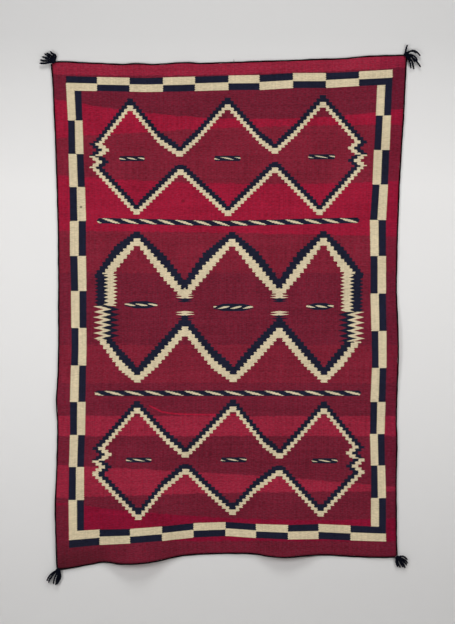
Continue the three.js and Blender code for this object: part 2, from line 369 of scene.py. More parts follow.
# The heights of a line's navy and cream stripes: THIN all along the top and bottom figures,
# and in the middle figure's upper and lower lines thinner at a peak than on an arm
Stripe = namedtuple("Stripe", "navy cream")
THIN = Stripe(7, 5.5)
END = Stripe(9, 9)
PEAK = Stripe(7, 7.5)
ARM = Stripe(12.5, 13)
VALLEY = Stripe(12, 8.5)
LOW_PEAK = Stripe(10, 10)
LOW_ARM = Stripe(11, 10.5)
LOW_VALLEY = Stripe(10.5, 7.5)

# One stepped line of a figure: at each turn, the top of its navy and its stripe. steps is how
# many steps there are from the turn before, and notch how much deeper the navy's middle
# thread is cut there. Where an arm bends, a turn lies on its way
Turn = namedtuple("Turn", "x top stripe steps notch")
NOTCH_HALF_WIDTH = 1.7
Line = namedtuple("Line", "turns cap")
Cap = namedtuple("Cap", "x top")
STEPPED_LINES = {
    "top figure, upper": Line([
        Turn(90.5, 144.5, THIN, 0, 0),
        Turn(130, 98.5, THIN, 14, 0),
        Turn(160, 130.5, THIN, 10, 0),
        Turn(180, 144, THIN, 5, 2.5),
        Turn(198, 130, THIN, 6, 0),
        Turn(227.5, 97.5, THIN, 10, 0),
        Turn(262, 131.5, THIN, 11, 0),
        Turn(275, 141, THIN, 4, 2.5),
        Turn(297, 123.5, THIN, 7, 0),
        Turn(323, 95, THIN, 8, 0),
        Turn(366.5, 140.5, THIN, 14, 0),
    ], []),
    "top figure, lower": Line([
        Turn(90, 155.5, THIN, 0, 0),
        Turn(136.5, 202, THIN, 15, 2.5),
        Turn(180.5, 162.5, THIN, 14, 0),
        Turn(228, 203.5, THIN, 15, 2.5),
        Turn(275, 160.5, THIN, 15, 0),
        Turn(319.5, 202.5, THIN, 14, 2.5),
        Turn(366.5, 153, THIN, 15, 0),
    ], [Cap(180.5, 164.5), Cap(275, 162)]),
    "middle figure, upper": Line([
        Turn(94, 274, END, 0, 0),
        Turn(116.5, 246, ARM, 8, 0),
        Turn(137, 231.5, PEAK, 6, 0),
        Turn(167, 255.5, ARM, 9, 0),
        Turn(184.5, 277.5, VALLEY, 5, 2),
        Turn(206, 252.5, ARM, 6, 0),
        Turn(232, 232, PEAK, 8, 0),
        Turn(259, 251, ARM, 8, 0),
        Turn(279, 276.5, VALLEY, 6, 2),
        Turn(300, 252, ARM, 6, 0),
        Turn(323.5, 231, PEAK, 7, 0),
        Turn(344, 246.5, ARM, 6, 0),
        Turn(363.5, 272.5, END, 7, 0),
    ], []),
    "middle figure, lower": Line([
        Turn(97, 322.5, END, 0, 0),
        Turn(122, 349, LOW_ARM, 8, 0),
        Turn(137, 364.5, LOW_VALLEY, 5, 2.5),
        Turn(158, 346, LOW_ARM, 6, 0),
        Turn(185, 316.5, LOW_PEAK, 8, 0),
        Turn(214, 347, LOW_ARM, 9, 0),
        Turn(233.5, 364, LOW_VALLEY, 5, 2.5),
        Turn(254, 344.5, LOW_ARM, 6, 0),
        Turn(279.5, 318, LOW_PEAK, 8, 0),
        Turn(304, 342, LOW_ARM, 8, 0),
        Turn(324, 364.5, LOW_VALLEY, 6, 2.5),
        Turn(344, 345, LOW_ARM, 6, 0),
        Turn(361, 325, END, 5, 0),
    ], []),
    "bottom figure, upper": Line([
        Turn(93, 447, THIN, 0, 0),
        Turn(137, 401, THIN, 14, 0),
        Turn(166, 428.5, THIN, 9, 0),
        Turn(185.5, 445, THIN, 5, 2.5),
        Turn(199, 435, THIN, 4, 0),
        Turn(233, 399.5, THIN, 10, 0),
        Turn(266, 435.5, THIN, 10, 0),
        Turn(279.5, 446, THIN, 4, 2.5),
        Turn(294, 435, THIN, 4, 0),
        Turn(324, 401.5, THIN, 9, 0),
        Turn(364, 446, THIN, 13, 0),
    ], []),
    "bottom figure, lower": Line([
        Turn(92, 463, THIN, 0, 0),
        Turn(138.5, 507.5, THIN, 14, 0),
        Turn(164, 480.5, THIN, 8, 0),
        Turn(186, 462, THIN, 6, 0),
        Turn(208, 480.5, THIN, 7, 0),
        Turn(232.5, 502.5, THIN, 7, 0),
        Turn(256, 481, THIN, 7, 0),
        Turn(279.5, 463.5, THIN, 6, 0),
        Turn(320.5, 504, THIN, 13, 0),
        Turn(364.5, 461, THIN, 13, 0),
    ], [Cap(186, 464), Cap(279.5, 465.5)]),
}

# The toothed ends of the top and bottom figures. The outer stripe changes from navy to cream
# at swap. mirror turns a right end into a left one: its x is taken from mirror
StepEnd = namedtuple("StepEnd", "top upper_tooth swap lower_tooth foot outer middle inner mirror")
STEP_ENDS = [
    StepEnd(143, 150, 156, 162, 168, 89.5, 95.5, 102.5, 0),
    StepEnd(141, 148, 154.5, 160.5, 166, 89, 95.5, 101.5, 456),
    StepEnd(447, 454.5, 460.5, 467, 476, 92.5, 98.5, 105, 0),
    StepEnd(446, 453, 458.5, 466, 474, 92.5, 98.5, 104.5, 457),
]
STEP_END_REACH = 113
TOOTH_WIDTH = 3.2
TOOTH_HEIGHT = 3.0
TOOTH_LEVELS = 2.5

# The spiked ends of the middle figure, above and below the swap of navy and cream
SpikeEnd = namedtuple("SpikeEnd", "top swap foot mirror first_spike")
SPIKE_ENDS = [
    SpikeEnd(274, 306, 340, 0, 309.2),
    SpikeEnd(274, 311.8, 341.5, 457.9, 314.7),
]
SPIKE_END_REACH = 121
FIRST_UPPER_SPIKE = 281.0
UPPER_SPIKE = 3.6
LOWER_SPIKE = 5.3
UPPER_SPIKES_GROW = (275, 279)

# Each edge of a spiked end: its place at a spike's tip, and its swing to between two spikes
SpikeEdge = namedtuple("SpikeEdge", "tip swing")
UPPER_EDGES = (SpikeEdge(94.4, 3.6), SpikeEdge(108.6, -4.8), SpikeEdge(117.4, -4.4))
LOWER_EDGES = (SpikeEdge(103.6, -10.0), SpikeEdge(111.0, -9.4), SpikeEdge(119.7, -9.0))

# The thin spikes where the middle figure's two lines nearly meet
Spike = namedtuple("Spike", "y half_width half_height thread")
RED, NAVY, CREAM = 0.0, 1.0, 2.0
NECKS = (184.9, 279.3)
NECK_SPIKES = [
    Spike(292.5, 3.6, 5, CREAM),
    Spike(295.2, 9.4, 1.1, CREAM),
    Spike(297.5, 9.4, 1.2, CREAM),
    Spike(299.4, 8.4, 1.4, NAVY),
    Spike(301.2, 8.4, 1.2, NAVY),
    Spike(312.2, 9.6, 1.3, CREAM),
    Spike(314.5, 9.6, 1.3, CREAM),
    Spike(316.4, 6, 1.2, NAVY),
    Spike(318.6, 9, 1.2, NAVY),
]

# Twisted ropes and small bars: navy, with a cream ply that crosses it by lean in each length
Rope = namedtuple("Rope", "x0 x1 y0 y_middle y1 half_height first_ply length lean ply point")
ROPE_END_SHARE = 0.3
PLY_STEPS = 7
PLY_ROUNDNESS = 1.9
ROPES = [
    Rope(97, 359.5, 220.6, 223.5, 220.2, 2.75, 102.1, 18.3, 4.2, 1.2, 2),
    Rope(95, 361, 393.2, 393.2, 393, 2.75, 104, 20, 4.2, 1.15, 2),
]
BARS = [
    Rope(119.7, 144.5, 158.6, 158.6, 158.6, 2.5, 115.4, 10.8, 1.8, 0.62, 0.5),
    Rope(214.6, 240.4, 158.4, 158.4, 158.4, 2.6, 206, 14, 2.2, 0.62, 0.5),
    Rope(308.5, 335, 156.8, 156.8, 156.8, 2.6, 300, 14, 2.2, 0.62, 0.5),
    Rope(125, 157.4, 304.8, 304.8, 304.8, 3.7, 123.6, 12, 1.7, 0.95, 10),
    Rope(213.5, 253, 307.4, 307.4, 307.4, 3.7, 217.6, 12.6, -2, 0.95, 10),
    Rope(306.5, 333.5, 306.4, 306.4, 306.4, 3.4, 303, 12, 1.7, 0.9, 8),
    Rope(126, 151.5, 460, 460, 460, 2.5, 119, 13, 2, 0.62, 1),
    Rope(221, 246.5, 459.8, 459.8, 459.8, 2.5, 213, 13, 2, 0.62, 1),
    Rope(312, 337.5, 460.8, 460.8, 460.8, 2.5, 305, 13, 2, 0.62, 1),
]

# The block border: two stripes of blocks, navy beside cream, which swap at each division. The
# outer stripe's share of the width is a little more where it is cream
OUTER_NAVY_SHARE = 0.47
OUTER_CREAM_EXTRA = 0.07
Edge = namedtuple("Edge", "at outer inner")
TOP_BAND = [
    Edge(66, 76, 90.5), Edge(97, 77, 91), Edge(146, 78, 92), Edge(180, 77, 91.5),
    Edge(230, 75.5, 90), Edge(260, 75, 90), Edge(293, 73, 88), Edge(326, 73, 88),
    Edge(359, 71.5, 86), Edge(393, 69.5, 84.5),
]
BOTTOM_BAND = [
    Edge(69, 548, 531.5), Edge(99, 545, 529.5), Edge(130, 543.5, 529), Edge(162, 541, 526.5),
    Edge(194, 537.5, 523), Edge(228, 536, 522), Edge(256, 538, 524), Edge(288, 539.5, 525),
    Edge(319, 539, 524), Edge(351, 540.5, 525.5), Edge(386, 541.5, 527),
]
LEFT_BAND = [
    Edge(84, 66, 81), Edge(120, 68, 82.5), Edge(153, 68.5, 83.5), Edge(187, 69.5, 85),
    Edge(221, 70, 86), Edge(256, 70, 86), Edge(291, 71, 86.5), Edge(346, 71.5, 86.5),
    Edge(402, 70, 85.5), Edge(435, 70, 85), Edge(466, 69, 84), Edge(500, 68.5, 84),
    Edge(540, 69, 84),
]
RIGHT_BAND = [
    Edge(80, 392.5, 377.5), Edge(115, 391, 376), Edge(150, 389.5, 374), Edge(185, 388, 372.5),
    Edge(220, 386, 370), Edge(256, 386, 370.5), Edge(294, 386, 370.5), Edge(331, 386.5, 371.5),
    Edge(368, 386.5, 372), Edge(402, 385.5, 370.5), Edge(434, 384.5, 370), Edge(465, 385, 371),
    Edge(498, 386, 371), Edge(535, 386, 371),
]
TOP_DIVISIONS = (66, 97, 129.5, 163, 195, 228.5, 259.5, 293, 326, 359, 393.5)
BOTTOM_DIVISIONS = (69, 99.5, 130, 162, 193.5, 225.5, 256, 288, 318.5, 350.5, 386)
LEFT_DIVISIONS = (84, 120.5, 154, 187, 221, 256, 291, 328, 365.5, 402, 435, 467, 500, 540)
RIGHT_DIVISIONS = (80, 115.5, 150, 184.5, 220, 256, 293.5, 331, 368, 402, 434, 465.5, 498, 535)

# The reds of the ground: a few dyes, used lot after lot
ROSE = (143, 36, 57)
CRIMSON = (146, 25, 51)
CARMINE = (127, 17, 46)
MADDER = (120, 32, 49)
WINE = (108, 30, 47)

# The dye lots from the top: the foot of each at the middle, and LOT_REACH left and right of it
LOT_REACH = 150
LOT_BLUR = 0.6
DyeLot = namedtuple("DyeLot", "left middle right colour")
DYE_LOTS = [
    DyeLot(75, 74.5, 69, ROSE),
    DyeLot(103, 118.5, 112, WINE),
    DyeLot(136.5, 128, 125, CRIMSON),
    DyeLot(176.5, 183.5, 182, MADDER),
    DyeLot(231, 233, 236, CRIMSON),
    DyeLot(273, 273, 273, MADDER),
    DyeLot(345, 345, 345, WINE),
    DyeLot(383, 383, 383, MADDER),
    DyeLot(416, 416, 416, WINE),
    DyeLot(436, 436, 436, ROSE),
    DyeLot(466, 474, 485, WINE),
    DyeLot(497, 493, 491.5, ROSE),
    DyeLot(505, 518, 519, WINE),
    DyeLot(541, 541, 541, CARMINE),
    DyeLot(600, 600, 600, WINE),
]
CREAM_WOOL = (205, 190, 158)
NAVY_WOOL = (27, 29, 46)

# The lower left margin, outside the border, is one darker lot from here down
MARGIN_LOT = (106, 29, 46)
MARGIN_LOT_TOP = 505
MARGIN_LOT_RIGHT = 68

# The right margin, outside the border, is a little darker and redder than the field
RIGHT_MARGIN = 380
RIGHT_MARGIN_TINT = (0.86, 0.77, 0.9, 1)
PLAIN_TINT = (1, 1, 1, 1)

# The reds vary from fleck to fleck of the yarn
REDDER_FLECK = (1.06, 0.62, 0.78, 1)
GREYER_FLECK = (0.94, 1.38, 1.22, 1)

# A thin brighter streak of one weft, through the bottom figure's left half
Streak = namedtuple("Streak", "x y")
STREAK = [
    Streak(149, 405.5), Streak(162, 412), Streak(172, 413.5), Streak(190, 414.5), Streak(236, 415),
]
STREAK_HALF_WIDTH = 0.8
STREAK_STRENGTH = 0.8
STREAK_COLOUR = (166, 24, 52)

# Small dark marks, and a painted shade on the lower left corner (the last row)
STAIN_AND_SHADE_COLOUR = (24, 18, 16)
DarkSpot = namedtuple("DarkSpot", "x y radius strength")
STAINS_AND_SHADE = [
    DarkSpot(81, 207, 1.6, 0.8),
    DarkSpot(183, 201, 2.2, 0.45),
    DarkSpot(223.6, 459.4, 1, 0.5),
    DarkSpot(349.5, 424.5, 2, 0.4),
    DarkSpot(266.5, 424, 1, 0.3),
    DarkSpot(299, 455, 1, 0.3),
    # Painted shade: the lower left corner, darker where less light falls on it
    DarkSpot(80, 572, 40, 0.4),
]


def stripe_edges(turn):
    """The tops of a turn's navy and cream, and the foot of its cream."""
    cream = turn.top + turn.stripe.navy
    return turn.top, cream, cream + turn.stripe.cream


def figure_line(x, y, line):
    """0 off the line, 1 on its navy and 2 on its cream."""
    first = line.turns[0]
    tops = list(stripe_edges(first))
    rise = 0
    for before, turn in zip(line.turns, line.turns[1:]):
        goes_on = rise * (turn.top - before.top) > 0
        rise = turn.top - before.top
        step = (turn.x - before.x) / turn.steps
        start = before.x - step if goes_on else before.x
        climb = staircase(x, start, turn.x, turn.steps + goes_on)
        for i, (low, high) in enumerate(zip(stripe_edges(before), stripe_edges(turn))):
            tops[i] = climb.via("MULTIPLY_ADD", high - low, tops[i])
    for turn in line.turns:
        if turn.notch:
            middle_thread = x.via("COMPARE", turn.x, NOTCH_HALF_WIDTH)
            tops[0] = middle_thread.via("MULTIPLY_ADD", turn.notch, tops[0])
    if line.cap:
        a, b = line.cap
        slope = (b.top - a.top) / (b.x - a.x)
        tops[0] = tops[0].via("MAXIMUM", x.via("MULTIPLY_ADD", slope, a.top - slope * a.x))
    navy, cream, foot = (y > top for top in tops)
    across = (x > first.x) * (x < line.turns[-1].x)
    return (navy + cream - foot * 2) * across


def tooth(x, y, middle):
    """x, moved in by up to two tooth widths around y = middle."""
    height = TOOTH_LEVELS - abs(y - middle) / TOOTH_HEIGHT
    steps = height.via("MAXIMUM", 0.0).via("FLOOR")
    return x - steps * TOOTH_WIDTH


def step_end(x, y, end):
    """The thread of a toothed end, and where it holds."""
    if end.mirror:
        x = end.mirror - x
    moved = tooth(x, y, end.upper_tooth)
    upper = (moved > end.outer) + (moved > end.middle) - (moved > end.inner) * 2
    moved = tooth(x, y, end.lower_tooth)
    lower = (moved > end.outer) * 2 - (moved > end.middle) - (moved > end.inner)
    inside = (x < STEP_END_REACH) * (y > end.top) * (y < end.foot)
    return mixed(y > end.swap, upper, lower), inside


def saw(y, first_tip, period):
    """0 at each spike's tip and 1 half way between tips."""
    return ((y - first_tip) / (period / 2)).via("PINGPONG", 1.0)


def past(x, wave, edge):
    """1 beyond an edge of a spiked end, and 0 before it."""
    return x > wave * edge.swing + edge.tip


def spike_end(x, y, end):
    """The thread of a spiked end, and where it holds."""
    if end.mirror:
        x = end.mirror - x
    outer, middle, inner = UPPER_EDGES
    wave = saw(y, FIRST_UPPER_SPIKE, UPPER_SPIKE)
    outer_wave = wave * ramp(y, *UPPER_SPIKES_GROW)
    upper = past(x, outer_wave, outer) + past(x, wave, middle) - past(x, wave, inner) * 2
    outer, middle, inner = LOWER_EDGES
    wave = saw(y, end.first_spike, LOWER_SPIKE)
    lower = past(x, wave, outer) * 2 - past(x, wave, middle) - past(x, wave, inner)
    inside = (x < SPIKE_END_REACH) * (y > end.top) * (y < end.foot)
    return mixed(y > end.swap, upper, lower), inside


def rope(x, y, row):
    """The thread of a rope or bar, and where it holds."""
    middle = (row.x0 + row.x1) / 2
    centre = row.y0
    if row.y_middle != row.y0:
        centre = curve_through(x, (row.x0, middle, row.x1), (row.y0, row.y_middle, row.y1))
    offset = y - centre
    near_end = (x - row.x0).via("MINIMUM", row.x1 - x)
    taper = ramp(near_end, 0.0, row.point, ROPE_END_SHARE, 1.0, smooth=False) * row.half_height
    inside = (abs(offset) < taper) * (near_end > 0)
    along = ((x - row.first_ply) / row.length).via("FRACT")
    ply = abs(offset - (staircase(along, 0.0, 1.0, PLY_STEPS) - 0.5) * row.lean)
    thick = (1 - abs(along * 2 - 1).via("POWER", PLY_ROUNDNESS)) * row.ply
    return (ply < thick) + 1, inside


def block(along, divisions):
    """0 and 1 by turns from block to block."""
    numbers = [float(i) for i in range(len(divisions))]
    cell = curve_through(along, divisions, numbers)
    return cell.via("FLOOR").via("MODULO", 2.0)


def border_stripe(across, along, edges, divisions, navy_outside):
    """The thread of one band of the border, and where its outer and inner edges lie."""
    places = [edge.at for edge in edges]
    outer = curve_through(along, places, [edge.outer for edge in edges])
    inner = curve_through(along, places, [edge.inner for edge in edges])
    odd = block(along, divisions)
    cream_outside = odd if navy_outside else 1 - odd
    share = (across - outer) / (inner - outer)
    in_outer = share < cream_outside * OUTER_CREAM_EXTRA + OUTER_NAVY_SHARE
    same = in_outer.via("COMPARE", cream_outside, 0.5)
    return same + 1, share


def border(x, y):
    """The thread of the block border, and where it holds."""
    top, top_share = border_stripe(y, x, TOP_BAND, TOP_DIVISIONS, True)
    bottom, bottom_share = border_stripe(y, x, BOTTOM_BAND, BOTTOM_DIVISIONS, True)
    left, left_share = border_stripe(x, y, LEFT_BAND, LEFT_DIVISIONS, False)
    right, right_share = border_stripe(x, y, RIGHT_BAND, RIGHT_DIVISIONS, True)
    thread = mixed(x > PATTERN_MIDDLE, left, right)
    thread = mixed(top_share < 1, thread, top)
    thread = mixed(bottom_share < 1, thread, bottom)
    outside = top_share.via("MINIMUM", bottom_share)
    outside = outside.via("MINIMUM", left_share).via("MINIMUM", right_share)
    return thread, (outside > 0) * (outside < 1)


def threads(x, y):
    """Which wool shows at each place inside the border: red, navy or cream."""
    thread = None
    for line in STEPPED_LINES.values():
        value = figure_line(x, y, line)
        thread = value if thread is None else thread.via("MAXIMUM", value)
    for ends, shape in ((STEP_ENDS, step_end), (SPIKE_ENDS, spike_end)):
        for end in ends:
            value, inside = shape(x, y, end)
            thread = mixed(inside, thread, value)
    from_neck = abs(x - NECKS[0]).via("MINIMUM", abs(x - NECKS[1]))
    for spike in NECK_SPIKES:
        reach = (1 - from_neck / spike.half_width) * spike.half_height
        thread = mixed(abs(y - spike.y) < reach, thread, spike.thread)
    for row in ROPES + BARS:
        value, inside = rope(x, y, row)
        thread = mixed(inside, thread, value)
    return thread


def noise(tree, vector, scale, detail=2.0, stretch=(1, 1, 1)):
    mapping = tree.nodes.new("ShaderNodeMapping")
    mapping.inputs["Scale"].default_value = stretch
    tree.links.new(vector, mapping.inputs["Vector"])
    node = tree.nodes.new("ShaderNodeTexNoise")
    node.inputs["Scale"].default_value = scale
    node.inputs["Detail"].default_value = detail
    tree.links.new(mapping.outputs[0], node.inputs["Vector"])
    return Term(tree, node.outputs["Fac"])


def new_material(name, roughness, sheen):
    material = bpy.data.materials.new(name)
    material.use_nodes = True
    shader = material.node_tree.nodes["Principled BSDF"]
    shader.inputs["Roughness"].default_value = roughness
    shader.inputs["Specular IOR Level"].default_value = 0.05
    shader.inputs["Sheen Weight"].default_value = sheen
    shader.inputs["Sheen Roughness"].default_value = 0.5
    return material, material.node_tree, shader


def uv(tree, name):
    """A UV layer as a vector, and its two numbers."""
    node = tree.nodes.new("ShaderNodeUVMap")
    node.uv_map = name
    split = tree.nodes.new("ShaderNodeSeparateXYZ")
    tree.links.new(node.outputs[0], split.inputs[0])
    return node.outputs[0], Term(tree, split.outputs[0]), Term(tree, split.outputs[1])


# The weave: the pitches of its yarns in millimetres, and in pixels how its edges waver
WARP_PITCH = 2.1
WEFT_PITCH = 0.8
SCALLOP_LENGTH = 2.2
SCALLOP_DEPTH = 0.32
SLOW_WANDER = 0.7
QUICK_WANDER = 1.4
BORDER_WANDER = 0.7
LOT_QUICK_WANDER = 2.2
LOT_SLOW_WANDER = 3
RIB_RELIEF = 0.5
BEAD_RELIEF = 0.35

# The grain of the wool: noises along the yarns, with their shares in its tone and its relief
Grain = namedtuple("Grain", "scale detail stretch tone relief")
HEATHER = Grain(0.5, 3.0, (0.25, 2.2, 1), 0.7, 0.3)
BANDS = Grain(0.02, 2.0, (0.15, 4.0, 1), 0.45, 0)
RIBS = Grain(0.22, 1.0, (1.0, 0.03, 1), 0.45, 0)
BEATS = Grain(0.2, 2.0, (0.35, 1.4, 1), 1.2, 0)
BLOTCHES = Grain(0.008, 2.0, (1, 1, 1), 0.5, 0)
LUMPS = Grain(0.35, 2.0, (0.6, 1.6, 1), 0, 0.9)
FLECKS = Grain(0.25, 2.0, (0.5, 1.3, 1), 0, 0)
TONE_EXCESS = 0.65
CREAM_CONTRAST = 0.6

# How far the wool's colours are lightened, to look in this light as they do in the photograph
LIFT = 1.02


def grain_noise(tree, yarn, grain):
    return noise(tree, yarn, grain.scale, grain.detail, grain.stretch)


def dye_lots(x, hatch):
    """The ground's lots from top to bottom, each down to the bend of its foot."""
    t = (x - PATTERN_MIDDLE) / LOT_REACH
    ground = dye(*DYE_LOTS[0].colour, LIFT)
    for above, lot in zip(DYE_LOTS, DYE_LOTS[1:]):
        half = (above.right - above.left) / 2
        bend = (above.right + above.left) / 2 - above.middle
        foot = t.via("MULTIPLY_ADD", bend, half) * t + above.middle
        past_foot = ramp(hatch - foot, -LOT_BLUR, LOT_BLUR)
        ground = mixed_colour(past_foot, ground, dye(*lot.colour, LIFT))
    return ground


def red_ground(tree, x, y, hatch, yarn):
    """The red wool: its lots, its darker margins, one bright streak and its flecks."""
    ground = dye_lots(x, hatch)
    margin = ramp(hatch, MARGIN_LOT_TOP - 1, MARGIN_LOT_TOP + 1) * (x < MARGIN_LOT_RIGHT)
    ground = mixed_colour(margin, ground, dye(*MARGIN_LOT, LIFT))

    places = [spot.x for spot in STREAK]
    off_streak = abs(y - curve_through(x, places, [spot.y for spot in STREAK])) / STREAK_HALF_WIDTH
    streak = ramp(off_streak, 1.4, 0.6) * (x > places[0]) * (x < places[-1])
    ground = mixed_colour(streak * STREAK_STRENGTH, ground, dye(*STREAK_COLOUR, LIFT))

    tint = mixed_colour(x > RIGHT_MARGIN, PLAIN_TINT, RIGHT_MARGIN_TINT)
    ground = multiplied(tree, ground, tint)
    fleck = ramp(grain_noise(tree, yarn, FLECKS), 0.36, 0.64)
    return multiplied(tree, ground, mixed_colour(fleck, REDDER_FLECK, GREYER_FLECK))


def wool_shade(tree, yarn, heather, is_cream):
    """Light and dark in the yarn, as a grey, weaker in the cream."""
    tone = heather * HEATHER.tone
    for grain in (BANDS, RIBS, BEATS, BLOTCHES):
        tone = tone + grain_noise(tree, yarn, grain) * grain.tone
    tone = tone - TONE_EXCESS
    tone = mixed(is_cream, tone, tone * CREAM_CONTRAST + (1 - CREAM_CONTRAST))
    shade = tree.nodes.new("ShaderNodeCombineColor")
    for socket in shade.inputs:
        tree.links.new(tone.socket, socket)
    return shade.outputs[0]


def weave_height(tree, yarn, across, down, heather):
    """The relief of the weave: ribs over the warps, with a bead for each weft."""
    warp = across / WARP_PITCH
    odd = warp.via("FLOOR").via("MODULO", 2.0)
    rib = (warp.via("FRACT") * math.pi).via("SINE")
    bead = abs(((down / WEFT_PITCH + odd * 0.5) * math.pi).via("SINE"))
    lumps = grain_noise(tree, yarn, LUMPS)
    woven = rib * RIB_RELIEF + bead * BEAD_RELIEF
    return woven + lumps * LUMPS.relief + heather * HEATHER.relief


def add_bump(tree, shader, height, strength, depth):
    bump = tree.nodes.new("ShaderNodeBump")
    bump.inputs["Strength"].default_value = strength
    bump.inputs["Distance"].default_value = depth * METRES
    tree.links.new(height.socket, bump.inputs["Height"])
    tree.links.new(bump.outputs[0], shader.inputs["Normal"])


def weave_material():
    material, tree, shader = new_material("woven_wool", roughness=0.92, sheen=0.03)
    pattern, x, y = uv(tree, "pattern_place")
    yarn, across, down = uv(tree, "yarn_place")

    slow = noise(tree, pattern, 0.11)
    quick = noise(tree, pattern, 1.0, detail=1.0, stretch=(0.18, 0.9, 1))
    drift = noise(tree, pattern, 0.09, detail=1.0)
    scallop = (y * (2 * math.pi / SCALLOP_LENGTH)).via("SINE") * SCALLOP_DEPTH
    x_woven = x + (slow - 0.5) * SLOW_WANDER + (quick - 0.5) * QUICK_WANDER + scallop
    y_woven = y + (drift - 0.5) * SLOW_WANDER
    block_thread, in_border = border(x + (quick - 0.5) * BORDER_WANDER + scallop, y)
    thread = mixed(in_border, threads(x_woven, y_woven), block_thread)

    hatch = y + (quick - 0.5) * LOT_QUICK_WANDER + (slow - 0.5) * LOT_SLOW_WANDER
    is_cream = thread > 1.5
    is_wool = thread > 0.5
    colour = mixed_colour(is_wool, red_ground(tree, x, y, hatch, yarn), dye(*NAVY_WOOL, LIFT))
    colour = mixed_colour(is_cream, colour, dye(*CREAM_WOOL, LIFT))
    heather = grain_noise(tree, yarn, HEATHER)
    colour = multiplied(tree, colour, wool_shade(tree, yarn, heather, is_cream))
    # Dark marks, and the painted shade on the lower left corner
    for dark_spot in STAINS_AND_SHADE:
        dx, dy = x - dark_spot.x, y - dark_spot.y
        near = ramp((dx * dx + dy * dy) / dark_spot.radius ** 2, 1.0, 0.0, 0.0, dark_spot.strength)
        colour = mixed_colour(near, colour, dye(*STAIN_AND_SHADE_COLOUR))
    tree.links.new(colour, shader.inputs["Base Color"])
    height = weave_height(tree, yarn, across, down, heather)
    add_bump(tree, shader, height, strength=0.55, depth=0.5)
    return material


def yarn_material(name, colour, light):
    """Plain plied wool, mottled with a painted highlight: lighter where its fibres stand up and
    catch the light.
    """
    material, tree, shader = new_material(name, roughness=0.9, sheen=0.0)
    place = tree.nodes.new("ShaderNodeTexCoord").outputs["Object"]
    fibre = noise(tree, place, 900, detail=3.0)
    tone = noise(tree, place, 60)
    # The light colour is a painted highlight on the fibres that stand up
    painted_highlight = ramp(fibre * 0.6 + tone * 0.4, 0.35, 0.7)
    mottled = mixed_colour(painted_highlight, dye(*colour), dye(*light))
    tree.links.new(mottled, shader.inputs["Base Color"])
    add_bump(tree, shader, fibre, strength=0.5, depth=0.4)
    return material


def lay_out_weave(sheet, points, u, v):
    """UV layers: each point's place in the photograph, and its place along the yarns."""
    toward = CAMERA_DISTANCE / (CAMERA_DISTANCE + points[:, 1])
    seen_x = points[:, 0] * toward
    seen_z = CAMERA_HEIGHT + (points[:, 2] - CAMERA_HEIGHT) * toward
    pattern_x = MIDDLE_PIXEL + seen_x / MM_PER_PIXEL
    pattern = np.stack([pattern_x, TOP_EDGE_PIXEL - seen_z / MM_PER_PIXEL], -1)
    yarn = np.stack(np.broadcast_arrays(u * FLAT_WIDTH / METRES, v * FLAT_LENGTH / METRES), -1)
    yarn = np.tile(yarn.reshape(-1, 2), (2, 1))
    corners = np.empty(len(sheet.data.loops), dtype=np.int32)
    sheet.data.loops.foreach_get("vertex_index", corners)
    for name, values in (("pattern_place", pattern), ("yarn_place", yarn)):
        layer = sheet.data.uv_layers.new(name=name)
        layer.data.foreach_set("uv", values[corners].astype(np.float32).ravel())


def make_sheet(material):
    """The woven sheet: a front and a back on the folds, joined by a rim."""
    u = np.linspace(0, 1, SHEET_COLUMNS + 1)[None, :]
    v = np.linspace(0, 1, SHEET_ROWS + 1)[:, None]
    middle = sheet_point(u, v)
    offset = sheet_normal(u, v) * SHEET_THICKNESS / 2
    points = np.concatenate([(middle + offset).reshape(-1, 3), (middle - offset).reshape(-1, 3)])
    per_side = middle.shape[0] * middle.shape[1]
    index = np.arange(per_side).reshape(middle.shape[:2])
    a, b, c, d = index[:-1, :-1], index[1:, :-1], index[1:, 1:], index[:-1, 1:]
    front = np.stack([a, b, c, d], -1).reshape(-1, 4)
    back = np.stack([a, d, c, b], -1).reshape(-1, 4) + per_side
    loop = np.concatenate([index[0, :-1], index[:-1, -1], index[-1, :0:-1], index[:0:-1, 0]])
    ahead = np.roll(loop, -1)
    rim = np.stack([loop, ahead, ahead + per_side, loop + per_side], -1)
    faces = np.concatenate([front, back, rim]).tolist()
    sheet = new_piece("blanket_sheet", points, faces, material, "weave", "woven_sheet")
    lay_out_weave(sheet, points, u, v)
    return sheet


def frames_along(path):
    """Directions along, beside and ahead of a path, at each of its points."""
    along = unit(np.gradient(path, axis=0))
    to_front = np.array([0.0, -1.0, 0.0])
    beside = unit(np.cross(along, to_front) + 1e-9)
    return along, beside, np.cross(beside, along)


def lengths_along(path):
    """How far along a path each of its points lies."""
    return np.concatenate([[0], np.cumsum(np.linalg.norm(np.diff(path, axis=0), axis=1))])


def tube(path, radii, sides):
    _, beside, ahead = frames_along(path)
    turn = (np.arange(sides) + 0.5) * 2 * np.pi / sides
    cosines, sines = np.cos(turn)[None, :, None], np.sin(turn)[None, :, None]
    ring = beside[:, None] * cosines + ahead[:, None] * sines
    points = path[:, None] + ring * np.asarray(radii)[:, None, None]
    count = len(path)
    index = np.arange(count * sides).reshape(count, sides)
    after = np.roll(index, -1, axis=1)
    faces = np.stack([index[:-1], index[1:], after[1:], after[:-1]], -1).reshape(-1, 4).tolist()
    faces.append(index[0].tolist())
    faces.append(index[-1, ::-1].tolist())
    return points.reshape(-1, 3), faces


# The share of a plied yarn's radius that is the radius of one ply
PLY_SHARE = 0.6


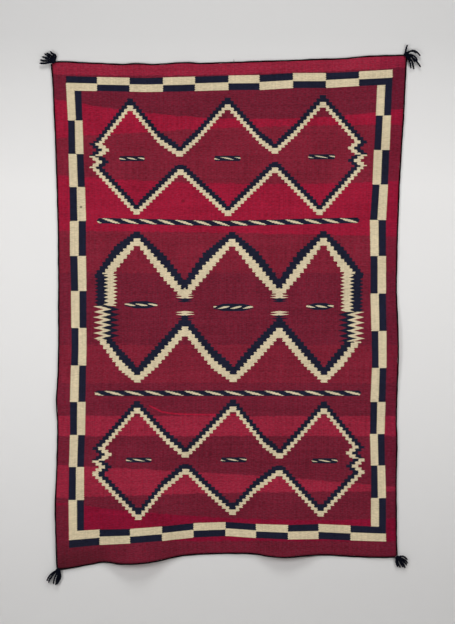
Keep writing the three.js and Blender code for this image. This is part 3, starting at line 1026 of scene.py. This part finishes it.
def plied(path, radius, pitch, sides, taper=None, plies=2, start=0.0):
    """Plies twisted round each other along a path, within radius of it."""
    length = lengths_along(path)
    _, beside, ahead = frames_along(path)
    taper = np.ones(len(path)) if taper is None else taper
    swing = (radius * (1 - PLY_SHARE) * taper)[:, None]
    tubes = []
    for ply in range(plies):
        turn = length / pitch * 2 * np.pi + ply * 2 * np.pi / plies + start
        spiral = path + swing * (beside * np.cos(turn)[:, None] + ahead * np.sin(turn)[:, None])
        tubes.append(tube(spiral, radius * PLY_SHARE * taper, sides))
    return tubes


def joined(parts):
    """The points and faces of many meshes as one."""
    points, faces, count = [], [], 0
    for part_points, part_faces in parts:
        points.append(part_points)
        faces += [[i + count for i in face] for face in part_faces]
        count += len(part_points)
    return np.concatenate(points), faces


# The selvage cords, one along each edge of the sheet, a little fuller than the frame's tubes
CORD_PITCH = 13
CORD_STEP = 1.7
CORD_FULLNESS = 1.3
CORD_PLIES = 3
DENSE_STEPS = 4000
Cord = namedtuple("Cord", "node u0 v0 u1 v1 outwards start")
CORDS = [
    Cord("cord_top", 0, 0, 1, 0, (0, 0, 1), 0.0),
    Cord("cord_bottom", 0, 1, 1, 1, (0, 0, -1), 1.1),
    Cord("cord_left", 0, 0, 0, 1, (-1, 0, 0), 2.0),
    Cord("cord_right", 1, 0, 1, 1, (1, 0, 0), 0.6),
]


# How a cord's girth and its line waver: the height and length of a slow wave and a quick one
Wave = namedtuple("Wave", "height length")
GIRTH_WAVES = (Wave(0.07, 37), Wave(0.05, 11.3))
LINE_WAVES = (Wave(0.35, 29), Wave(0.25, 8.7))

# A short end of yarn that stands up from the top cord
LOOSE_END_PIXEL = 233
LOOSE_END_REACH = (3.0, -1.0, 11.0)
LOOSE_END_BOW = (2.0, 0.0, 0.0)
LOOSE_END_RADIUS = 1.1
LOOSE_END_PITCH = 6


def waver(along, waves, start):
    slow, quick = waves
    slowly = slow.height * np.sin(along / slow.length + start)
    return slowly + quick.height * np.sin(along / quick.length)


def make_cord(cord, material):
    dense = np.linspace(0, 1, DENSE_STEPS)
    path = sheet_point(mix(cord.u0, cord.u1, dense), mix(cord.v0, cord.v1, dense))
    path = path + np.array(cord.outwards) * (CORD_RADIUS + CLEARANCE / 2)
    length = lengths_along(path)
    step = CORD_STEP * 1
    stops = np.arange(CORD_SETBACK, length[-1] - CORD_SETBACK, step)
    path = np.stack([np.interp(stops, length, path[:, i]) for i in range(3)], -1)
    girth = 1 + waver(stops, GIRTH_WAVES, cord.start)
    path = path + np.array(cord.outwards) * waver(stops, LINE_WAVES, cord.start)[:, None]
    radius = CORD_RADIUS * CORD_FULLNESS
    parts = plied(path, radius, CORD_PITCH, 6, taper=girth, plies=CORD_PLIES, start=cord.start)
    if cord.node == "cord_top":
        parts += loose_end()
    return new_piece(cord.node + "_plied", *joined(parts), material, "cord", cord.node)


def loose_end():
    x = (LOOSE_END_PIXEL - MIDDLE_PIXEL) * MM_PER_PIXEL
    root = np.array([x, 0.0, -top_down(x) - CORD_RADIUS])
    t = np.linspace(0, 1, 9)[:, None]
    path = root + t * np.array(LOOSE_END_REACH) + np.sin(t * np.pi) * np.array(LOOSE_END_BOW)
    return plied(path, LOOSE_END_RADIUS, LOOSE_END_PITCH, 5, taper=np.linspace(1, 0.5, 9))


# The tassels: across and up place each strand's tip from the head, bow is how far its middle
# bends aside, and out how far its tip stands to the front
STRAND_POINTS = 28
STRAND_PITCH = 16
STRAND_WAVE = 0.9
TIP_FIBRES = 6
TIP_FIBRE_REACH = (3, 5)
TIP_FIBRE_SPREAD = 0.4
TIP_FIBRE_RADII = (0.45, 0.15)
KNOT_POINTS = 80
KNOT_TURNS = 4
KNOT_YARN_RADIUS = 2.2
KNOT_HEIGHT = HEAD_RADIUS * 1.4
KNOT_BULGE = 1.1
Strand = namedtuple("Strand", "across up bow out")
Tassel = namedtuple("Tassel", "node side end head strands")
TASSELS = [
    Tassel("tassel_top_left", -1, 1, (5, -8.1, 6), [
        Strand(-49, -7, -2, 2), Strand(-49, 6, -1, -2), Strand(-41, 17, 2, 5),
        Strand(-33, 27, 3, 1), Strand(-24, 31, 5, -2), Strand(-11, 36, 6, 4),
        Strand(-10, 29, 14, 0), Strand(-22, 23, 9, 3), Strand(-31, 9, 3, 6),
    ]),
    Tassel("tassel_top_right", 1, 1, (1, -7.8, 5), [
        Strand(6, 34, -2, 0), Strand(51, -5, -15, 3), Strand(38, 4, -9, -2),
        Strand(52, -47, -8, 2), Strand(41, -22, -7, 5), Strand(32, -29, -7, 0),
        Strand(29, -52, -7, -2), Strand(18, -50, -4, 3),
    ]),
    Tassel("tassel_bottom_left", -1, -1, (2, -8, -5), [
        Strand(-42, -38, 5, 0), Strand(-35, -45, 4, 4), Strand(-29, -33, 3, -2),
        Strand(-18, -50, 2, 3), Strand(-10, -54, -6, -1), Strand(-4, -50, -8, 5),
        Strand(3, -38, -6, 0), Strand(-8, -44, -2, 3),
    ]),
    Tassel("tassel_bottom_right", 1, -1, (4, -6.2, -5), [
        Strand(36, -7, -8, 3), Strand(37, -21, -6, -2), Strand(32, -27, -5, 5),
        Strand(27, -37, -4, 0), Strand(19, -34, -2, 4), Strand(9, -35, 2, -2),
        Strand(2, -32, 5, 3),
    ]),
]


def strand_parts(root, tip, bow, chance):
    """One plied yarn from the head to its tip, with its fibres loose at the tip."""
    line = tip - root
    right_hand = unit(np.array([line[2], 0, -line[0]]))
    bend = (root + tip) / 2 + right_hand * 2 * bow
    t = np.linspace(0, 1, STRAND_POINTS)[:, None]
    path = (1 - t) ** 2 * root + 2 * t * (1 - t) * bend + t * t * tip
    curl = chance.uniform(0, 6)
    path = path + np.sin(t * 7 + curl) * t * STRAND_WAVE * right_hand
    path = path + np.cos(t * 5 + curl) * t * np.array([0, STRAND_WAVE, 0])
    taper = np.interp(t[:, 0], [0, 0.85, 1], [1, 0.95, 0.7])
    parts = plied(path, STRAND_WIDTH / 2, STRAND_PITCH, 7, taper=taper, start=curl)
    ahead = unit(path[-1] - path[-4])
    for _ in range(TIP_FIBRES):
        lean = np.array([chance.gauss(0, TIP_FIBRE_SPREAD) for _ in range(3)])
        reach = chance.uniform(*TIP_FIBRE_REACH)
        s = np.linspace(0, 1, 5)[:, None]
        fibre = path[-3] + s * reach * (ahead + lean * s)
        parts.append(tube(fibre, np.linspace(*TIP_FIBRE_RADII, 5), 3))
    return parts


def knot_parts(head, diagonal):
    """The knotted head: turns of yarn wound over a small ball."""
    front = np.array([0.0, -1.0, 0.0])
    side = unit(np.cross(diagonal, front))
    depth = HEAD_DEPTH / 2 - KNOT_YARN_RADIUS
    t = np.linspace(0, 1, KNOT_POINTS)[:, None]
    lean = (t - 0.5) * KNOT_HEIGHT
    girth = np.sqrt(np.clip(1 - (lean / HEAD_RADIUS / KNOT_BULGE) ** 2, 0.15, 1))
    angle = t * 2 * np.pi * KNOT_TURNS
    ring = side * np.cos(angle) * (HEAD_RADIUS - KNOT_YARN_RADIUS) + front * np.sin(angle) * depth
    coil = head + diagonal * lean + girth * ring
    core = head + diagonal * np.linspace(-0.8, 0.8, 9)[:, None] * HEAD_RADIUS
    swell = np.sqrt(np.clip(1 - np.linspace(-1, 1, 9) ** 2, 0.1, 1))
    swell = swell * (depth + KNOT_YARN_RADIUS / 2)
    return [tube(coil, np.full(KNOT_POINTS, KNOT_YARN_RADIUS), 7), tube(core, swell, 10)]


def make_tassel(tassel, material):
    u = 1.0 if tassel.side > 0 else 0.0
    v = 0.0 if tassel.end > 0 else 1.0
    diagonal = unit(np.array([float(tassel.side), 0.0, float(tassel.end)]))
    head = sheet_point(u, v) + np.array(tassel.head)
    chance = random.Random(tassel.node)
    parts = knot_parts(head, diagonal)
    strands = tassel.strands
    fan = [np.array([strand.across, TIP_FALL_BACK - strand.out, strand.up]) for strand in strands]
    middle = np.mean(fan, axis=0)
    for strand, reach in zip(strands, fan):
        root = head + (reach - middle) * ROOT_SPREAD
        parts += strand_parts(root, head + reach, strand.bow, chance)
    return new_piece(tassel.node + "_yarns", *joined(parts), material, "tassel", tassel.node)


# The blanket
sheet = make_sheet(weave_material())
# Each wool: its own colour, then a lighter painted highlight
cord_wool = yarn_material("cord_wool", (2, 2, 4), (7, 7, 11))
tassel_wool = yarn_material("tassel_wool", (4, 5, 12), (16, 19, 33))
trims = [make_cord(cord, cord_wool) for cord in CORDS]
trims += [make_tassel(tassel, tassel_wool) for tassel in TASSELS]

# The stage, in metres: a pale wall close behind, and a floor below
WALL_BEHIND = 6.5 * METRES
WALL_HALF_WIDTH = 2.6
WALL_TOP = 1.6
FLOOR_BELOW = 2.45
FLOOR_HALF_WIDTH = 12
# Painted shade on the wall: it darkens towards the foot and towards the top, where the light falls
# off
FOOT_SHADE_SPAN = (-0.1, -1.9)
TOP_SHADE_SPAN = (-0.45, 0.1)
FOOT_SHADE_SHARE = 0.82
TOP_SHADE_SHARE = 0.9
BACKDROP_COLOUR = (0.83, 0.82, 0.81, 1)
BACKDROP_SHADED_COLOUR = (0.64, 0.635, 0.63, 1)
FLOOR_COLOUR = (0.62, 0.612, 0.604, 1)


def plane(name, corners, material):
    piece = mesh_object(name, corners, [[0, 1, 2, 3]], material)
    return piece


def shaded_wall_paint():
    """Pale paint with painted shade, a little darker towards the foot and the top, and clear from
    behind.
    """
    material, tree, shader = new_material("shaded_wall_paint", roughness=0.9, sheen=0.0)
    height = tree.nodes.new("ShaderNodeSeparateXYZ")
    tree.links.new(tree.nodes.new("ShaderNodeTexCoord").outputs["Object"], height.inputs[0])
    z = Term(tree, height.outputs[2])
    # Painted shade towards the foot and towards the top
    foot_shade = ramp(z, *FOOT_SHADE_SPAN, 0.0, FOOT_SHADE_SHARE, smooth=False)
    rise = ramp(z, *TOP_SHADE_SPAN, 0.0, TOP_SHADE_SHARE, smooth=False)
    paint_and_shade = mixed_colour(foot_shade + rise, BACKDROP_COLOUR, BACKDROP_SHADED_COLOUR)
    tree.links.new(paint_and_shade, shader.inputs["Base Color"])
    clear = tree.nodes.new("ShaderNodeBsdfTransparent")
    facing = tree.nodes.new("ShaderNodeNewGeometry")
    choice = tree.nodes.new("ShaderNodeMixShader")
    tree.links.new(facing.outputs["Backfacing"], choice.inputs[0])
    tree.links.new(shader.outputs[0], choice.inputs[1])
    tree.links.new(clear.outputs[0], choice.inputs[2])
    tree.links.new(choice.outputs[0], tree.nodes["Material Output"].inputs["Surface"])
    return material


def floor_paint():
    material, _, shader = new_material("floor_paint", roughness=0.9, sheen=0.0)
    shader.inputs["Base Color"].default_value = FLOOR_COLOUR
    return material


def make_backdrop():
    x, y, foot = WALL_HALF_WIDTH, WALL_BEHIND, -FLOOR_BELOW
    corners = [(-x, y, foot), (x, y, foot), (x, y, WALL_TOP), (-x, y, WALL_TOP)]
    backdrop = plane("backdrop", corners, shaded_wall_paint())
    backdrop.visible_shadow = False
    backdrop.visible_diffuse = False
    backdrop.visible_glossy = False


def make_floor():
    r, z = FLOOR_HALF_WIDTH, -FLOOR_BELOW
    plane("floor", [(-r, -r, z), (r, -r, z), (r, r, z), (-r, r, z)], floor_paint())


make_backdrop()
make_floor()

# Soft lights: place and aim in metres, and power in watts
Light = namedtuple("Light", "name place aim width height power")
LIGHTS = [
    Light("left_light", (-1.35, -2.0, -1.0), (0, 0, -0.9), 0.8, 0.9, 22.5),
    Light("right_light", (1.35, -2.0, -0.9), (0, 0, -0.85), 0.8, 0.9, 18),
    Light("top_light", (0.2, -3.0, 3.0), (0, 0, -1.2), 2.0, 2.0, 122),
    Light("back_light", (0, 3.2, 0.8), (0, 0, -0.9), 1.6, 1.6, 110),
]
WORLD_COLOUR = (1.0, 0.99, 0.98, 1)
WORLD_STRENGTH = 0.05


def soft_light(row):
    data = bpy.data.lights.new(row.name, "AREA")
    data.shape = "RECTANGLE"
    data.size = row.width
    data.size_y = row.height
    data.energy = row.power
    light = bpy.data.objects.new(row.name, data)
    light.location = row.place
    x, y, z = np.array(row.aim) - np.array(row.place)
    light.rotation_euler = (math.atan2(math.hypot(x, y), -z), 0, math.atan2(-x, y))
    bpy.context.scene.collection.objects.link(light)


for row in LIGHTS:
    soft_light(row)

world = bpy.data.worlds.new("studio")
world.use_nodes = True
background = world.node_tree.nodes["Background"]
background.inputs["Color"].default_value = WORLD_COLOUR
background.inputs["Strength"].default_value = WORLD_STRENGTH
bpy.context.scene.world = world
bpy.context.scene.view_settings.view_transform = "Standard"

# The camera, straight in front, as in the photograph
lens = bpy.data.cameras.new("camera")
lens.lens = CAMERA_LENS
lens.sensor_width = CAMERA_SENSOR
camera = bpy.data.objects.new("camera", lens)
camera.location = (0, -CAMERA_DISTANCE * METRES, CAMERA_HEIGHT * METRES)
camera.rotation_euler = (math.pi / 2, 0, 0)
bpy.context.scene.collection.objects.link(camera)
bpy.context.scene.camera = camera
